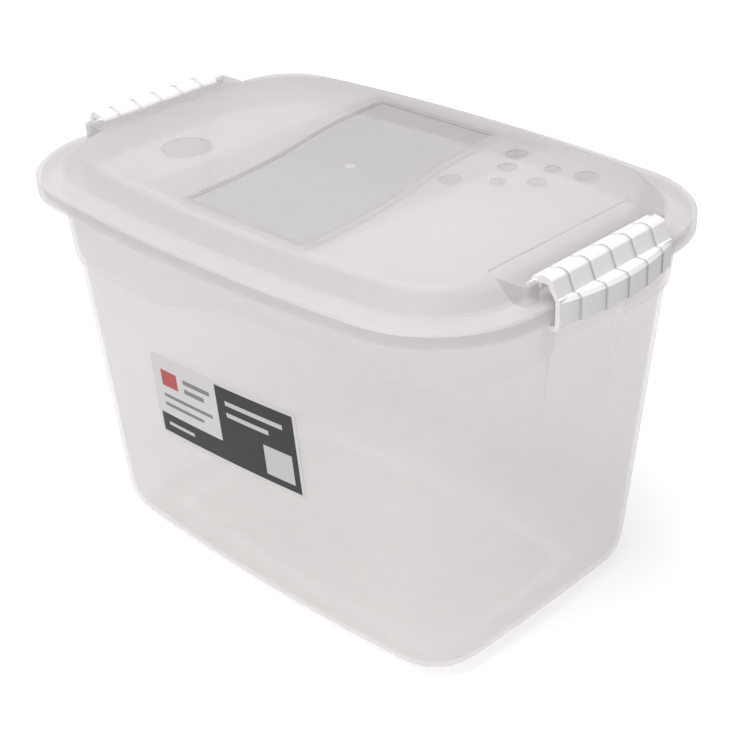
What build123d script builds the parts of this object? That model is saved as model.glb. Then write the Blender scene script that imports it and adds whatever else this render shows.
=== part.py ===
"""Plastic storage box with a lift-off lid and two swinging end latches.

Millimetres. The origin is under the middle of the box, on the plane it stands on. +X runs along the
box to the right-hand latch, -Y faces the long front wall with the label, and +Z is up.
"""
from build123d import *
from math import cos, radians, sin
import os

# Outline of the lid: a rectangle through the four corner points, whose sides bow outwards
lid_half_length = 117.5
lid_half_width = 73.7
lid_end_bow = 1.9
lid_side_bow = 8.4
lid_corner_radius = 43.5

# Heights and walls of the lid
flange_top = 156.5
skirt_height = 6.0
lid_wall = 1.5
lid_edge_bevel = 0.9

# Raised top of the lid
flange_end_width = 10.8
flange_side_width = 8.8
plateau_height = 7.9
plateau_taper = 45.0
plateau_edge_radius = 5.0
plateau_foot_bevel = 0.8
shell_inset = 0.6

# Waved band sunk in the lid's top
band_half_width = 30.0
band_front = 59.5
band_back = 55.0
band_sway = 7.0
band_wave_middle = 4.0
band_depth = 1.8

# Round dimples, each with its place and radius, and the gate mark
dimple_depth = 0.7
dimples = [
    (-59.8, -28.3, 9.8),
    (42.1, 44.4, 4.4),
    (47.5, 32.8, 3.6),
    (61.2, 41.5, 3.1),
    (39.0, 11.7, 4.1),
    (53.4, 21.0, 2.9),
    (64.4, 28.7, 3.7),
    (74.6, 44.0, 4.5),
]
gate_radius = 2.0
gate_height = 0.3

# Rib under the lid that centres it in the mouth of the box
rib_inset = 16.0
rib_thickness = 1.2
rib_depth = 4.0
rib_root = 8.1

# Tongues that carry the latches, one at each end of the lid
tongue_cheek = 6.3
tongue_length = 16.1
tongue_step = 0.7
tongue_corner_radius = 1.2
tongue_edge_bevel = 0.5

# Hinge of each latch
hinge_setback = 7.5
hinge_height = 5.7
hinge_margin = 2.1
knuckle_radius = 2.4
knuckle_clearance = 0.5
notch_chamfer = 0.6
pin_radius = 1.5
pin_clearance = 0.05
pin_length = 4.0
pin_end_gap = 0.5

# Latch moulding: a humped plate, a slanted face and a skirt that bows outwards
latch_half_width = 29.6
latch_side_gap = 0.6
latch_wall = 1.7
latch_skirt_gap = 0.6
hump_setback = 0.8
hump_height = 0.95
bend_setback = 0.9
bend_drop = 0.1
bend_radius = 0.8
crease_overhang = 1.5
crease_height = 2.4
skirt_bow = 4.7
skirt_rise = 2.5
shelf_bevel = 1.2
hook_overlap = 0.8
hook_gap = 0.4
hook_thickness = 1.8
hook_radius = 2.6

# Grooves over the latch, with a shallow strip and a notch in the skirt beside each
groove_count = 5
groove_pitch = 10.8
groove_width = 0.5
groove_depth = 0.5
strip_width = 3.0
strip_depth = 0.25
strip_notch = 1.2

# Walls of the box, at the floor and at the mouth
floor_end_bow = 1.5
floor_side_bow = 4.1
floor_corner_radius = 23.0
mouth_end_setback = 6.6
mouth_side_setback = 13.1
end_draft = 16.8
side_draft = 2.0
mouth_end_bow = 1.8
mouth_side_bow = 6.7
mouth_corner_radius = 24.7
box_wall = 1.6
floor_thickness = 2.0
base_radius = 16.5
base_steps = 6
foot_width = 6.0
foot_height = 0.6
foot_corner_radius = 8.0

# Waved step where the upper band of the box stands proud of the walls
step_height_left = 119.5
step_height_right = 131.5
step_wave_middle = -12.0
step_wave_half_length = 28.0
step_width = 1.2

# Flat panel sunk in each end wall
panel_half_width = 19.0
panel_depth = 3.0
panel_foot = 98.0

# Rim of the box, and the catch under it at each end
rim_gap = 0.2
rim_clearance = 0.4
rim_thickness = 1.6
rim_depth = 3.6
catch_depth = 1.8
catch_half_width = 27.0
rim_edge_bevel = 0.5

# Label on the front wall
label_length = 83.0
label_height = 36.0
label_x = -7.0
label_z = 79.2
label_tilt = 3.0
label_corner_radius = 2.0
label_thickness = 0.15
label_glue = 0.05

# Places worked out from the sizes above
lid_end = lid_half_length + lid_end_bow
mouth_half_length = lid_half_length - mouth_end_setback
mouth_half_width = lid_half_width - mouth_side_setback
floor_half_length = mouth_half_length - end_draft
floor_half_width = mouth_half_width - side_draft
skirt_bottom = flange_top - skirt_height
plateau_top = flange_top + plateau_height
tongue_top = plateau_top - tongue_step
rim_top = flange_top - lid_wall - rim_gap
rim_inset = lid_wall + rim_clearance
rim_end = lid_end - rim_inset
rim_under = rim_top - rim_thickness
lip_bottom = rim_top - rim_depth
catch_bottom = lip_bottom - catch_depth
hinge_x = lid_end - hinge_setback
hinge_z = flange_top + hinge_height
notch_x = hinge_x - knuckle_radius - knuckle_clearance
notch_half_width = latch_half_width + latch_side_gap
tongue_half_width = notch_half_width + tongue_cheek
tongue_end_x = hinge_x + hinge_margin
tongue_root_x = tongue_end_x - tongue_length
plate_top = hinge_z + knuckle_radius
hump_start_x = hinge_x + hump_setback
latch_inner_x = lid_end + latch_skirt_gap
latch_outer_x = latch_inner_x + latch_wall
bend_x = lid_end - bend_setback
bend_z = plate_top - bend_drop
crease_x = lid_end + crease_overhang
crease_z = flange_top + crease_height
hook_tip_x = rim_end - hook_overlap
hook_top = catch_bottom - hook_gap
hook_bottom = hook_top - hook_thickness
skirt_foot = hook_bottom + skirt_rise
label_face = label_glue + label_thickness
far = 2 * lid_half_length


def bowed_outline(height, half_length, half_width, end_bow, side_bow, radius):
    """Rectangle with bowed sides and round corners, on the level plane at this height."""
    with BuildSketch(Plane.XY.offset(height), mode=Mode.PRIVATE) as outline:
        with BuildLine():
            ThreePointArc(
                (-half_length, -half_width), (0, -half_width - side_bow), (half_length, -half_width)
            )
            ThreePointArc((half_length, -half_width), (half_length + end_bow, 0), (half_length, half_width))
            ThreePointArc((half_length, half_width), (0, half_width + side_bow), (-half_length, half_width))
            ThreePointArc(
                (-half_length, half_width), (-half_length - end_bow, 0), (-half_length, -half_width)
            )
        make_face()
        fillet(outline.vertices(), radius)
    return outline.sketch.face()


def lid_outline(height, inset):
    """Outline of the lid, drawn in by an inset."""
    return bowed_outline(
        height,
        lid_half_length - inset,
        lid_half_width - inset,
        lid_end_bow,
        lid_side_bow,
        lid_corner_radius - inset,
    )


def plateau_outline(height, inset):
    """Outline of the raised top at its foot, drawn in by an inset."""
    return bowed_outline(
        height,
        lid_half_length - flange_end_width - inset,
        lid_half_width - flange_side_width - inset,
        lid_end_bow,
        lid_side_bow,
        lid_corner_radius - flange_side_width - inset,
    )


def between(at_floor, at_mouth, height):
    """Size of the drafted wall at a height, from its sizes at the floor and at the mouth."""
    return at_floor + (at_mouth - at_floor) * height / rim_top


def wall_outline(height, outset):
    """Outline of the box wall at a height, moved out by an outset."""
    return bowed_outline(
        height,
        between(floor_half_length, mouth_half_length, height) + outset,
        between(floor_half_width, mouth_half_width, height) + outset,
        between(floor_end_bow, mouth_end_bow, height),
        between(floor_side_bow, mouth_side_bow, height),
        between(floor_corner_radius, mouth_corner_radius, height) + outset,
    )


def rounded_base(foot, outset, steps):
    """Outlines up the round turn from the floor into the wall, with the wall moved out by an outset."""
    radius = base_radius + outset
    turns = [radians(90 * step / steps) for step in range(steps + 1)]
    return [
        wall_outline(foot + radius * (1 - cos(turn)), outset - radius * (1 - sin(turn))) for turn in turns
    ]


def step_profile(rise):
    """Side view of everything above the waved step line, which can be raised."""
    wave_start = step_wave_middle - step_wave_half_length
    wave_end = step_wave_middle + step_wave_half_length
    low = step_height_left + rise
    high = step_height_right + rise
    with BuildSketch(Plane.XZ, mode=Mode.PRIVATE) as profile:
        with BuildLine():
            Line((-far, low), (wave_start, low))
            Bezier((wave_start, low), (step_wave_middle, low), (step_wave_middle, high), (wave_end, high))
            Line((wave_end, high), (far, high))
            Polyline((far, high), (far, far), (-far, far), (-far, low))
        make_face()
    return profile.sketch.face()


def panel_profile(side, depth):
    """Side view of what lies outside a flat end panel, which fades into the drafted wall at its foot."""
    foot_x = between(floor_half_length + floor_end_bow, mouth_half_length + mouth_end_bow, panel_foot)
    top_x = between(floor_half_length + floor_end_bow, mouth_half_length + mouth_end_bow, rim_under)
    with BuildSketch(Plane.XZ, mode=Mode.PRIVATE) as profile:
        with BuildLine():
            Polyline(
                (side * (foot_x - depth), panel_foot),
                (side * (top_x - panel_depth - depth), rim_under),
                (side * lid_end, rim_under),
                (side * lid_end, panel_foot),
                close=True,
            )
        make_face()
    return profile.sketch.face()


def band_outline(height, grow):
    """Plan of the waved band on the lid: two S-shaped sides between straight ends."""
    right = band_half_width + grow
    front = -band_front - grow
    back = band_back + grow
    with BuildSketch(Plane.XY.offset(height), mode=Mode.PRIVATE) as outline:
        with BuildLine():
            for edge in (right, -right):
                Bezier(
                    (edge + band_sway, front),
                    (edge + band_sway, band_wave_middle),
                    (edge - band_sway, band_wave_middle),
                    (edge - band_sway, back),
                )
            Line((band_sway - right, front), (band_sway + right, front))
            Line((-band_sway - right, back), (-band_sway + right, back))
        make_face()
    return outline.sketch.face()


def latch_section(inset):
    """Side view of the latch with its hollow filled, its outer faces drawn in by an inset."""
    with BuildSketch(Plane.XZ, mode=Mode.PRIVATE) as section:
        with BuildLine():
            Line((hinge_x, plate_top), (hump_start_x, plate_top))
            ThreePointArc(
                (hump_start_x, plate_top),
                ((hump_start_x + bend_x) / 2, plate_top + hump_height - inset),
                (bend_x - inset, bend_z - inset / 2),
            )
            Polyline(
                (bend_x - inset, bend_z - inset / 2),
                (crease_x - inset, crease_z),
                (latch_outer_x - inset, crease_z - inset),
                (latch_outer_x - inset, hook_bottom),
                (hinge_x, hook_bottom),
                (hinge_x, plate_top),
            )
        make_face()
        fillet(section.vertices().sort_by_distance((bend_x - inset, bend_z - inset / 2))[0], bend_radius)
        fillet(section.vertices().sort_by_distance((latch_outer_x, hook_bottom))[0], hook_radius)
    return section.sketch.face()


def bowed_plan(inner_x, outer_x, height):
    """Plan of the bowed skirt of the latch: a straight inner side and an outer side that is an arc."""
    with BuildSketch(Plane.XY.offset(height), mode=Mode.PRIVATE) as plan:
        with BuildLine():
            ThreePointArc(
                (outer_x, -latch_half_width), (outer_x + skirt_bow, 0), (outer_x, latch_half_width)
            )
            Polyline(
                (outer_x, latch_half_width),
                (inner_x, latch_half_width),
                (inner_x, -latch_half_width),
                (outer_x, -latch_half_width),
            )
        make_face()
    return plan.sketch.face()


def latch_form(inset):
    """Latch with its hollow filled, its outer faces drawn in by an inset."""
    with BuildPart() as form:
        extrude(bowed_plan(hinge_x, latch_outer_x - inset, skirt_foot), amount=crease_z - inset - skirt_foot)
        chamfer(form.faces().sort_by(Axis.Z)[-1].edges().sort_by(Axis.X)[-1], shelf_bevel)
        extrude(latch_section(inset), amount=latch_half_width, both=True)
    return form.part


# Rim of the box: a flange turned down at its edge
with BuildPart() as rim:
    extrude(lid_outline(lip_bottom, rim_inset), amount=rim_top - lip_bottom)
    chamfer(rim.faces().sort_by(Axis.Z)[-1].edges(), rim_edge_bevel)
    extrude(
        lid_outline(lip_bottom, rim_inset + rim_thickness),
        amount=rim_under - lip_bottom,
        mode=Mode.SUBTRACT,
    )

# Catches: the turned-down edge reaches lower under each latch
with BuildPart() as catches:
    extrude(lid_outline(catch_bottom, rim_inset), amount=rim_under - catch_bottom)
    chamfer(catches.faces().sort_by(Axis.Z)[0].edges(), rim_edge_bevel)
    extrude(
        lid_outline(catch_bottom, rim_inset + rim_thickness),
        amount=rim_under - catch_bottom,
        mode=Mode.SUBTRACT,
    )
    with BuildSketch(Plane.XY.offset(catch_bottom)):
        with Locations((0, catch_half_width + far), (0, -catch_half_width - far)):
            Rectangle(2 * far, 2 * far)
    extrude(amount=rim_under - catch_bottom, mode=Mode.SUBTRACT)

# Upper band of the box, above the waved step
with BuildPart() as upper_band:
    loft([wall_outline(panel_foot, step_width), wall_outline(rim_top, step_width)], ruled=True)
    extrude(step_profile(0), amount=far, both=True, mode=Mode.INTERSECT)

# Space behind the upper band
with BuildPart() as band_space:
    loft(
        [
            wall_outline(panel_foot, step_width - box_wall),
            wall_outline(rim_top + lid_wall, step_width - box_wall),
        ],
        ruled=True,
    )
    extrude(step_profile(box_wall), amount=far, both=True, mode=Mode.INTERSECT)

# Whole space inside the box
with BuildPart() as box_space:
    loft(
        rounded_base(floor_thickness, -box_wall, base_steps) + [wall_outline(rim_top + lid_wall, -box_wall)],
        ruled=True,
    )
    add(band_space.part)
    for side in (1, -1):
        extrude(
            panel_profile(side, box_wall),
            amount=panel_half_width + box_wall,
            both=True,
            mode=Mode.SUBTRACT,
        )

# Box body
with BuildPart() as box:
    loft(rounded_base(0, 0, base_steps) + [wall_outline(rim_top, 0)], ruled=True)
    add(upper_band.part)
    for side in (1, -1):
        extrude(panel_profile(side, 0), amount=panel_half_width, both=True, mode=Mode.SUBTRACT)
    add(rim.part)
    add(catches.part)
    add(box_space.part, mode=Mode.SUBTRACT)
    extrude(
        bowed_outline(
            0,
            floor_half_length - base_radius - foot_width,
            floor_half_width - base_radius - foot_width,
            floor_end_bow,
            floor_side_bow,
            foot_corner_radius,
        ),
        amount=foot_height,
        mode=Mode.SUBTRACT,
    )
box.part.label = "box"


# Raised top of the lid
with BuildPart() as plateau:
    extrude(plateau_outline(flange_top - lid_wall / 2, 0), amount=lid_wall / 2)
    extrude(plateau_outline(flange_top, 0), amount=plateau_height, taper=plateau_taper)
    fillet(plateau.faces().sort_by(Axis.Z)[-1].edges(), plateau_edge_radius)

# Tongue at the right end of the lid, with the notch and the pin sockets of the latch
with BuildPart() as tongue:
    with BuildSketch(Plane.XY.offset(flange_top - lid_wall / 2)):
        with Locations(((tongue_root_x + tongue_end_x) / 2, 0)):
            Rectangle(tongue_end_x - tongue_root_x, 2 * tongue_half_width)
    extrude(amount=tongue_top - flange_top + lid_wall / 2)
    fillet(tongue.edges().filter_by(Axis.Z).group_by(Axis.X)[-1], tongue_corner_radius)
    chamfer(tongue.faces().sort_by(Axis.Z)[-1].edges().sort_by(Axis.X)[1:], tongue_edge_bevel)
    with BuildSketch(Plane.XZ):
        with BuildLine():
            Polyline(
                (notch_x, flange_top),
                (notch_x, tongue_top - notch_chamfer),
                (notch_x - notch_chamfer, tongue_top),
                (far, tongue_top),
                (far, flange_top),
                close=True,
            )
        make_face()
    extrude(amount=notch_half_width, both=True, mode=Mode.SUBTRACT)
    with BuildSketch(Plane.XZ):
        with Locations((hinge_x, hinge_z)):
            Circle(pin_radius + pin_clearance)
    extrude(amount=latch_half_width + pin_length + pin_end_gap, both=True, mode=Mode.SUBTRACT)

# Rib that centres the lid in the mouth of the box
with BuildPart() as rib:
    extrude(lid_outline(flange_top - lid_wall - rib_depth, rib_inset), amount=rib_depth + rib_root)
    extrude(
        lid_outline(flange_top - lid_wall - rib_depth, rib_inset + rib_thickness),
        amount=rib_depth + rib_root,
        mode=Mode.SUBTRACT,
    )

# Hollow under the lid
with BuildPart() as lid_space:
    extrude(lid_outline(skirt_bottom, lid_wall), amount=skirt_height - lid_wall)
    extrude(
        plateau_outline(flange_top - lid_wall, shell_inset),
        amount=plateau_height,
        taper=plateau_taper,
    )
    with BuildSketch(Plane.XY.offset(flange_top - lid_wall)):
        Rectangle(2 * (notch_x - lid_wall), 2 * (tongue_half_width - lid_wall))
    extrude(amount=tongue_top - flange_top)
    extrude(band_outline(plateau_top - lid_wall, lid_wall), amount=-band_depth, mode=Mode.SUBTRACT)
    add(rib.part, mode=Mode.SUBTRACT)

# Lid
with BuildPart() as lid:
    extrude(lid_outline(skirt_bottom, 0), amount=skirt_height)
    chamfer(lid.faces().sort_by(Axis.Z)[-1].edges(), lid_edge_bevel)
    add(plateau.part)
    flange = lid.faces().filter_by(Plane.XY).filter_by_position(Axis.Z, flange_top, flange_top)[0]
    chamfer(flange.inner_wires()[0].edges(), plateau_foot_bevel)
    add(tongue.part)
    mirror(tongue.part, about=Plane.YZ)
    with BuildSketch(Plane.XY.offset(tongue_top)):
        with Locations((tongue_root_x + far / 2, 0), (-tongue_root_x - far / 2, 0)):
            Rectangle(far, 2 * tongue_half_width)
    extrude(amount=plateau_height, mode=Mode.SUBTRACT)
    add(lid_space.part, mode=Mode.SUBTRACT)
    extrude(band_outline(plateau_top, 0), amount=-band_depth, mode=Mode.SUBTRACT)
    with BuildSketch(Plane.XY.offset(plateau_top)):
        for dimple_x, dimple_y, dimple_radius in dimples:
            with Locations((dimple_x, dimple_y)):
                Circle(dimple_radius)
    extrude(amount=-dimple_depth, mode=Mode.SUBTRACT)
    with BuildSketch(Plane.XY.offset(plateau_top - band_depth)):
        Circle(gate_radius)
    extrude(amount=gate_height)
lid.part.label = "lid"

# What the grooves, the strips beside them and the notches take off the latch
grooves = [groove_pitch * (i - (groove_count - 1) / 2) for i in range(groove_count)]
with BuildPart() as groove_cuts:
    with BuildSketch(Plane.XY.offset(skirt_foot)):
        for y in grooves:
            with Locations((far / 2, y)):
                Rectangle(far, groove_width)
    extrude(amount=plate_top + 2 * hump_height - skirt_foot)
    add(latch_form(groove_depth), mode=Mode.SUBTRACT)
with BuildPart() as strip_cuts:
    with BuildSketch(Plane.XY.offset(skirt_foot)):
        for y in grooves:
            with Locations((latch_outer_x + far / 2, y - strip_width / 2)):
                Rectangle(far, strip_width)
    extrude(amount=crease_z - shelf_bevel - skirt_foot)
    add(latch_form(strip_depth), mode=Mode.SUBTRACT)
with BuildPart() as notch_cuts:
    with BuildSketch(Plane.YZ.offset(latch_outer_x)):
        with BuildLine():
            for y in grooves:
                Polyline(
                    (y, skirt_foot),
                    (y - strip_width, skirt_foot),
                    (y - strip_width, skirt_foot + strip_notch),
                    close=True,
                )
        make_face()
    extrude(amount=2 * skirt_bow)

# Hollow of the latch: the space round the hinge and the lid's edge, and the finger pocket in the skirt
with BuildPart() as latch_space:
    with BuildSketch(Plane.XZ):
        with BuildLine():
            Polyline(
                (hinge_x - latch_wall, plate_top - latch_wall),
                (bend_x - latch_wall, plate_top - latch_wall),
                (latch_inner_x, crease_z - latch_wall / 2),
                (latch_inner_x, hook_top),
                (hook_tip_x, hook_top),
                (hook_tip_x, hook_bottom - latch_wall),
                (hinge_x - latch_wall, hook_bottom - latch_wall),
                close=True,
            )
        make_face()
    extrude(amount=2 * latch_half_width, both=True)
    extrude(
        bowed_plan(hinge_x, latch_outer_x - latch_wall, skirt_foot),
        amount=crease_z - latch_wall - skirt_foot,
    )
    with BuildSketch(Plane.XY.offset(hook_top)):
        with Locations(((latch_inner_x + latch_outer_x) / 2, 0)):
            Rectangle(latch_wall, 2 * latch_half_width)
    extrude(amount=crease_z - hook_top, mode=Mode.SUBTRACT)

# Right-hand latch
with BuildPart() as latch_right:
    add(latch_form(0))
    add(groove_cuts.part, mode=Mode.SUBTRACT)
    add(strip_cuts.part, mode=Mode.SUBTRACT)
    add(notch_cuts.part, mode=Mode.SUBTRACT)
    add(latch_space.part, mode=Mode.SUBTRACT)
    with BuildSketch(Plane.XZ):
        with Locations((hinge_x, hinge_z)):
            Circle(knuckle_radius)
    extrude(amount=latch_half_width, both=True)
    with BuildSketch(Plane.XZ):
        with Locations((hinge_x, hinge_z)):
            Circle(pin_radius)
    extrude(amount=latch_half_width + pin_length, both=True)
latch_right.part.label = "latch_right"

# Left-hand latch: the same moulding turned round
with BuildPart() as latch_left:
    add(latch_right.part, rotation=(0, 0, 180))
latch_left.part.label = "latch_left"

# Label: a thin sheet that follows the front wall
with BuildPart() as label:
    loft([wall_outline(0, label_face), wall_outline(rim_top, label_face)], ruled=True)
    loft([wall_outline(0, label_glue), wall_outline(rim_top, label_glue)], ruled=True, mode=Mode.SUBTRACT)
    with BuildSketch(Plane.XZ):
        with Locations((label_x, label_z)):
            RectangleRounded(label_length, label_height, label_corner_radius, rotation=label_tilt)
    extrude(amount=far, mode=Mode.INTERSECT)
label.part.label = "label"

# One file for each piece
os.makedirs("parts", exist_ok=True)
export_step(box.part, "parts/box.step")
export_step(lid.part, "parts/lid.step")
export_step(latch_right.part, "parts/latch_right.step")
export_step(latch_left.part, "parts/latch_left.step")
export_step(label.part, "parts/label.step")
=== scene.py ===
"""Looks of the storage box: milky translucent body and lid, white latches, a plain printed label.

The CAD solids keep their meshes and places. This script gives them materials and adds the floor,
the surround, the lamps and the camera. Lengths are in metres where nothing else is said.
"""
import math

import bpy
from mathutils import Matrix, Vector

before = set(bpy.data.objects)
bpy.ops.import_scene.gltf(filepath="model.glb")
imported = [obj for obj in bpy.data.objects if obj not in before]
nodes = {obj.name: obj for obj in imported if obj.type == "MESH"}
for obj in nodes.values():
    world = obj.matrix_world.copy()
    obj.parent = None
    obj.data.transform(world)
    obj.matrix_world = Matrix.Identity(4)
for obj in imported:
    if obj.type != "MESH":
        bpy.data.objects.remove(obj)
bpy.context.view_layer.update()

# Plastic in general: its refractive index, what it leaves of the light that goes straight through,
# how far its clearness and roughness stray along the flow marks, and the depth of its mould grain
plastic_ior = 1.49
straight_tint = (0.97, 0.97, 0.97, 1)
clearness_spread = 0.015
roughness_spread = 0.05
grain_depth = 0.0002

# Body: the heights of its waved step at the two ends, where along the wall the step climbs, and
# how much less clear the wall is above it
step_height_left = 0.1195
step_height_right = 0.1315
step_climb_start = -0.040
step_climb_end = 0.016
clearness_above_step = -0.09
body_colour = (0.945, 0.925, 0.915, 1)

# Marks of the lid, at heights that follow from its top: the polished band and dimples, which are
# clearer and carry a darker painted shade, and the white gate mark. Limits along x, y and z pick
# out their faces. The band's limits also take in the underside of the raised top around it.
lid_top = max(corner[2] for corner in nodes["lid"].bound_box)
lid_wall = 0.0015
band_depth = 0.0018
dimple_depth = 0.0007
gate_height = 0.0003
slack = 0.0002
band_floor = lid_top - band_depth
dimple_floor = lid_top - dimple_depth
gate_top = band_floor + gate_height
band_limits = (
    (-0.045, 0.045),
    (-0.0605, 0.0605),
    (band_floor - lid_wall - slack, gate_top + slack),
)
dimple_limits = ((-0.08, 0.08), (-0.052, 0.052), (dimple_floor - slack, dimple_floor + slack))
gate_limits = ((-0.002, 0.002), (-0.002, 0.002), (gate_top - slack, gate_top + slack))
clearness_of_polish = 0.1
lid_colour = (0.83, 0.81, 0.815, 1)
# Colour of the painted shade in the sunk band and dimples
sunk_shade_colour = (0.64, 0.63, 0.63, 1)
gate_colour = (0.98, 0.97, 0.97, 1)

# Latch: the distance from groove to groove, and where on a segment it starts to round off and to
# take painted shade, as shares of that distance from the segment's middle
groove_pitch = 0.0108
groove_share = 0.5
rounding_share = 0.34
shade_start_share = 0.40
rounding_depth = 0.0004
latch_colour = (0.89, 0.88, 0.87, 1)
# Colour of the painted shade in the grooves
groove_shade_colour = (0.70, 0.69, 0.68, 1)

# Label: the middle of its sheet, its tilt on the wall, and its paper and inks
label_corners = [Vector(corner) for corner in nodes["label"].bound_box]
label_middle = sum(label_corners, Vector()) / len(label_corners)
label_tilt = math.radians(3)
shaded_paper = (0.68, 0.66, 0.66, 1)
bright_paper = (0.74, 0.72, 0.72, 1)
dark_ink = (0.012, 0.012, 0.013, 1)
grey_ink = (0.22, 0.22, 0.22, 1)
pale_ink = (0.60, 0.60, 0.60, 1)
red_ink = (0.48, 0.065, 0.06, 1)

# Panels and bars of the label, each over those before it: the left, right, low and high edge in
# millimetres from the label's middle, and the ink
label_panels = [
    (-2, 40, -16.5, 16.5, dark_ink),  # Right half
    (-40, -2, -16.5, -8, dark_ink),  # Strip along the foot
    (-36, -26, 5, 12, red_ink),  # Square in the corner
    (-22, -6, 9.5, 11.5, grey_ink),  # Bars on the paper
    (-22, -10, 5.5, 7.5, grey_ink),
    (-36, -6, 0, 1.5, grey_ink),
    (-36, -12, -4, -2.5, grey_ink),
    (3, 34, 9, 11, pale_ink),  # Bars on the right half
    (3, 26, 4, 6, pale_ink),
    (22, 37, -13.5, -1, pale_ink),  # Patch on the right half
    (-36, -20, -13, -11.5, pale_ink),  # Bar on the strip
]
millimetres_in_metre = 1000

# Stage: the floor's side, its paint, and the light that lifts it to white where it is seen by the
# camera or through the plastic. The surround lights the object evenly and is brighter where the
# camera sees it.
floor_side = 12
floor_paint = (0.8, 0.8, 0.8, 1)
floor_lift = 0.42
surround_light = 0.36
surround_seen = 1.0
lamp_aim = (0, 0, 0.1)

# Camera at the photograph's view, with its lens and sensor in millimetres
camera_place = Vector((0.39358, -0.37573, 0.38411))
camera_aim = Vector((0, 0, 0.06475))
camera_roll = math.radians(-2.856)
camera_lens = 77.43
camera_sensor = 36
camera_shift_x = 0.00833
camera_shift_y = 0.03827


# Nodes

def feed(tree, socket, value):
    """Links another socket to this one, or sets this one to a plain value."""
    if isinstance(value, bpy.types.NodeSocket):
        tree.links.new(value, socket)
    else:
        socket.default_value = value


def add(tree, kind, **settings):
    """Adds a node. A setting with the name of an input feeds it, and any other is an attribute."""
    node = tree.nodes.new(kind)
    for key, value in settings.items():
        name = key.replace("_", " ")
        if name in node.inputs:
            feed(tree, node.inputs[name], value)
        else:
            setattr(node, key, value)
    return node


def maths(tree, operation, *values):
    """Result of a Math node that is fed with sockets or numbers."""
    node = add(tree, "ShaderNodeMath", operation=operation)
    for socket, value in zip(node.inputs, values):
        feed(tree, socket, value)
    return node.outputs["Value"]


def map_range(tree, value, low, high, start=0.0, end=1.0, interpolation="LINEAR"):
    """The value, taken from the range start to end over to the range low to high."""
    node = add(
        tree, "ShaderNodeMapRange", interpolation_type=interpolation,
        Value=value, From_Min=start, From_Max=end, To_Min=low, To_Max=high,
    )
    return node.outputs["Result"]


def mix_colour(tree, share, first, second):
    """The first colour where the share is 0, the second where it is 1."""
    node = add(tree, "ShaderNodeMix", data_type="RGBA", Factor=share, A=first, B=second)
    return node.outputs["Result"]


def mix_shader(tree, share, first, second):
    """The first shader where the share is 0, the second where it is 1."""
    node = add(tree, "ShaderNodeMixShader", Fac=share)
    tree.links.new(first, node.inputs[1])
    tree.links.new(second, node.inputs[2])
    return node.outputs["Shader"]


def noise(tree, place, scale, detail=2.0, roughness=0.5):
    """Noise that keeps its place on the piece."""
    node = add(
        tree, "ShaderNodeTexNoise",
        Vector=place, Scale=scale, Detail=detail, Roughness=roughness,
    )
    return node.outputs["Fac"]


def bump(tree, height, strength, depth, **settings):
    """Normal that a height from 0 to 1 gives."""
    node = add(
        tree, "ShaderNodeBump", Height=height, Strength=strength, Distance=depth, **settings
    )
    return node.outputs["Normal"]


def axes_of(tree, vector):
    """The x, y and z of a vector."""
    node = add(tree, "ShaderNodeSeparateXYZ", Vector=vector)
    return node.outputs["X"], node.outputs["Y"], node.outputs["Z"]


def within(tree, value, low, high):
    """1 where the value lies between two limits, 0 elsewhere."""
    return maths(tree, "COMPARE", value, (low + high) / 2, (high - low) / 2)


def box_mask(tree, axes, limits):
    """1 inside a box given by its limits along each axis, 0 outside."""
    x, y, z = [within(tree, axis, *ends) for axis, ends in zip(axes, limits)]
    return maths(tree, "MULTIPLY", maths(tree, "MULTIPLY", x, y), z)


def new_material(name):
    """An empty material and its node tree."""
    material = bpy.data.materials.new(name)
    material.use_nodes = True
    tree = material.node_tree
    tree.nodes.clear()
    return material, tree


def place_on_piece(tree):
    """Place of each point on its piece, in metres."""
    return add(tree, "ShaderNodeTexCoord").outputs["Object"]


def show(tree, surface, kind="ShaderNodeOutputMaterial"):
    """Gives a material, or the world, its surface."""
    add(tree, kind, Surface=surface)


# Materials

def dull_above_step(tree, axes, clearness, colour):
    """Above the waved step, which climbs from left to right, the wall is less clear."""
    x, _, z = axes
    step = map_range(
        tree, x, low=step_height_left, high=step_height_right,
        start=step_climb_start, end=step_climb_end, interpolation="SMOOTHSTEP",
    )
    above = maths(tree, "GREATER_THAN", z, step)
    return maths(tree, "MULTIPLY_ADD", above, clearness_above_step, clearness), colour


def polish_and_shade_marks(tree, axes, clearness, colour):
    """The sunk band and the dimples are clearer, with a darker painted shade, and the gate mark is
    white.
    """
    band = box_mask(tree, axes, band_limits)
    dimples = box_mask(tree, axes, dimple_limits)
    gate = box_mask(tree, axes, gate_limits)
    sunk = maths(tree, "MAXIMUM", band, dimples)
    clearness = maths(tree, "MULTIPLY_ADD", sunk, clearness_of_polish, clearness)
    # Painted shade in the sunk band and dimples
    colour = mix_colour(tree, sunk, colour, sunk_shade_colour)
    return clearness, mix_colour(tree, gate, colour, gate_colour)


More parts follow.
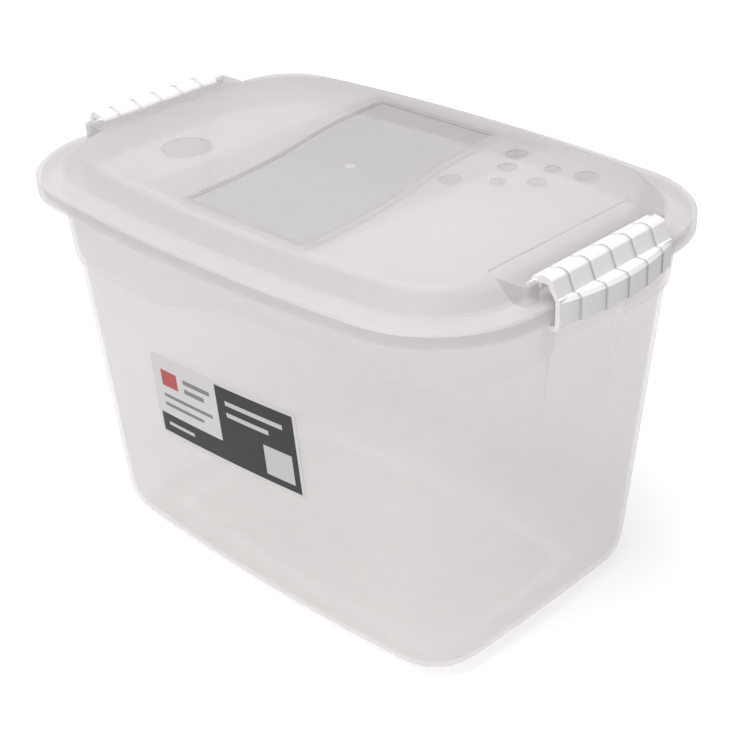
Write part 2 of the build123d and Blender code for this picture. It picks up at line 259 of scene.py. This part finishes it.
def milky_plastic(name, colour, see_through, glow, roughness, grain, marks):
    """Milky polypropylene: a glossy skin over plastic that passes light straight and scattered."""
    material, tree = new_material(name)
    place = place_on_piece(tree)

    # Faint flow marks make the plastic a little clearer and rougher in some places than in others
    flow = noise(tree, place, scale=22.0, detail=3.0, roughness=0.55)
    clearness = map_range(
        tree, flow,
        low=see_through - clearness_spread, high=see_through + clearness_spread,
        start=0.3, end=0.7,
    )
    gloss = map_range(
        tree, flow, low=roughness - roughness_spread, high=roughness + roughness_spread
    )
    clearness, colour = marks(tree, axes_of(tree, place), clearness, colour)

    # Glossy skin with a fine mould grain, mixed with light that scatters or passes through
    fine = noise(tree, place, scale=900.0)
    skin = add(
        tree, "ShaderNodeBsdfPrincipled",
        IOR=plastic_ior,
        Base_Color=colour,
        Roughness=gloss,
        Normal=bump(tree, fine, strength=grain, depth=grain_depth),
    )
    scattered = add(tree, "ShaderNodeBsdfTranslucent", Color=colour)
    lit = mix_shader(tree, glow, skin.outputs["BSDF"], scattered.outputs["BSDF"])
    straight = add(tree, "ShaderNodeBsdfTransparent", Color=straight_tint)
    show(tree, mix_shader(tree, clearness, lit, straight.outputs["BSDF"]))
    return material


def white_plastic(name):
    """Solid white moulded plastic in segments that round off towards each groove, with painted
    shade in the grooves.
    """
    material, tree = new_material(name)
    place = place_on_piece(tree)

    # Share of the pitch from the middle of a segment: 0 there and 0.5 in a groove
    _, y, _ = axes_of(tree, place)
    share = maths(tree, "FRACT", maths(tree, "DIVIDE", y, groove_pitch))
    off_middle = maths(tree, "ABSOLUTE", maths(tree, "SUBTRACT", share, groove_share))
    height = map_range(
        tree, off_middle, low=1.0, high=0.0,
        start=rounding_share, end=groove_share, interpolation="SMOOTHSTEP",
    )
    # Painted shade that deepens towards each groove
    groove_shade_amount = map_range(
        tree, off_middle, low=0.0, high=1.0,
        start=shade_start_share, end=groove_share, interpolation="SMOOTHSTEP",
    )
    rounded = bump(tree, height, strength=0.6, depth=rounding_depth)

    # Mould grain on top of the rounding, and a roughness that drifts a little
    fine = noise(tree, place, scale=700.0)
    cloud = noise(tree, place, scale=60.0)
    skin = add(
        tree, "ShaderNodeBsdfPrincipled",
        IOR=plastic_ior,
        Base_Color=mix_colour(tree, groove_shade_amount, latch_colour, groove_shade_colour),
        Roughness=map_range(tree, cloud, low=0.3, high=0.42),
        Normal=bump(tree, fine, strength=0.1, depth=grain_depth, Normal=rounded),
    )
    show(tree, skin.outputs["BSDF"])
    return material


def label_print(name):
    """Glossy printed film with plain panels and bars: position on the label decides the ink."""
    material, tree = new_material(name)
    place = place_on_piece(tree)
    level = add(
        tree, "ShaderNodeMapping", vector_type="TEXTURE",
        Vector=place, Location=label_middle, Rotation=(0, -label_tilt, 0),
    )
    x, _, z = axes_of(tree, level.outputs["Vector"])

    # Faint unevenness of the paper, then each panel over what lies below it
    cloud = noise(tree, place, scale=300.0)
    colour = mix_colour(tree, cloud, shaded_paper, bright_paper)
    for left, right, low, high, ink in label_panels:
        across = within(tree, x, left / millimetres_in_metre, right / millimetres_in_metre)
        upright = within(tree, z, low / millimetres_in_metre, high / millimetres_in_metre)
        colour = mix_colour(tree, maths(tree, "MULTIPLY", across, upright), colour, ink)

    gloss = map_range(tree, cloud, low=0.35, high=0.45)
    skin = add(tree, "ShaderNodeBsdfPrincipled", Base_Color=colour, Roughness=gloss)
    show(tree, skin.outputs["BSDF"])
    return material


def dress(node_name, material):
    """Gives a solid its material."""
    data = nodes[node_name].data
    data.materials.clear()
    data.materials.append(material)


body_plastic = milky_plastic(
    "body_plastic",
    colour=body_colour,
    see_through=0.64,
    glow=0.66,
    roughness=0.32,
    grain=0.12,
    marks=dull_above_step,
)
lid_plastic = milky_plastic(
    "lid_plastic",
    colour=lid_colour,
    see_through=0.44,
    glow=0.62,
    roughness=0.35,
    grain=0.2,
    marks=polish_and_shade_marks,
)
latch_plastic = white_plastic("latch_plastic")
dress("box", body_plastic)
dress("lid", lid_plastic)
dress("latch_right", latch_plastic)
dress("latch_left", latch_plastic)
dress("label", label_print("label_print"))


# Stage

def pale_floor():
    """Plain floor that keeps the object's shadow and is lifted to white where it is seen."""
    bpy.ops.mesh.primitive_plane_add(size=floor_side, location=(0, 0, 0))
    plane = bpy.context.object
    plane.name = "floor"
    material, tree = new_material("floor_white")
    paint = add(tree, "ShaderNodeBsdfDiffuse", Color=floor_paint)
    ray = add(tree, "ShaderNodeLightPath")
    seen = maths(
        tree, "MAXIMUM", ray.outputs["Is Camera Ray"], ray.outputs["Is Transmission Ray"]
    )
    dark = add(tree, "ShaderNodeEmission", Strength=0.0)
    lift = add(tree, "ShaderNodeEmission", Strength=floor_lift)
    both = add(tree, "ShaderNodeAddShader")
    tree.links.new(paint.outputs["BSDF"], both.inputs[0])
    lifted = mix_shader(tree, seen, dark.outputs["Emission"], lift.outputs["Emission"])
    tree.links.new(lifted, both.inputs[1])
    show(tree, both.outputs["Shader"])
    plane.data.materials.append(material)
    return plane


def pale_surround():
    """Even light from all around, with a brighter strength where the camera sees it."""
    world = bpy.data.worlds.new("studio")
    world.use_nodes = True
    tree = world.node_tree
    tree.nodes.clear()
    around = add(tree, "ShaderNodeBackground", Strength=surround_light)
    backdrop = add(tree, "ShaderNodeBackground", Strength=surround_seen)
    ray = add(tree, "ShaderNodeLightPath")
    picked = mix_shader(
        tree, ray.outputs["Is Camera Ray"],
        around.outputs["Background"], backdrop.outputs["Background"],
    )
    show(tree, picked, kind="ShaderNodeOutputWorld")
    bpy.context.scene.world = world


def lamp(name, place, size, power):
    """Square area lamp that faces the object."""
    light = bpy.data.lights.new(name, "AREA")
    light.size = size
    light.energy = power
    holder = bpy.data.objects.new(name, light)
    bpy.context.scene.collection.objects.link(holder)
    holder.location = place
    facing = Vector(lamp_aim) - Vector(place)
    holder.rotation_euler = facing.to_track_quat("-Z", "Y").to_euler()


def photo_camera():
    """Camera that looks from its place at its aim, rolled about its own axis."""
    look = (camera_aim - camera_place).normalized()
    right = look.cross(Vector((0, 0, 1))).normalized()
    up = right.cross(look)
    turned_right = right * math.cos(camera_roll) + up * math.sin(camera_roll)
    turned_up = up * math.cos(camera_roll) - right * math.sin(camera_roll)
    turn = Matrix((turned_right, turned_up, -look)).transposed()
    data = bpy.data.cameras.new("camera")
    data.sensor_width = camera_sensor
    data.lens = camera_lens
    data.shift_x = camera_shift_x
    data.shift_y = camera_shift_y
    camera = bpy.data.objects.new("camera", data)
    bpy.context.scene.collection.objects.link(camera)
    camera.matrix_world = Matrix.Translation(camera_place) @ turn.to_4x4()
    return camera


floor = pale_floor()
pale_surround()
lamp("top_lamp", place=(0.0, -0.35, 1.4), size=1.2, power=20.0)
lamp("front_lamp", place=(0.1, -1.4, 0.8), size=0.9, power=3.0)
lamp("end_lamp", place=(1.4, -0.2, 0.7), size=0.9, power=1.0)
bpy.context.scene.camera = photo_camera()
bpy.context.scene.view_settings.view_transform = "Standard"
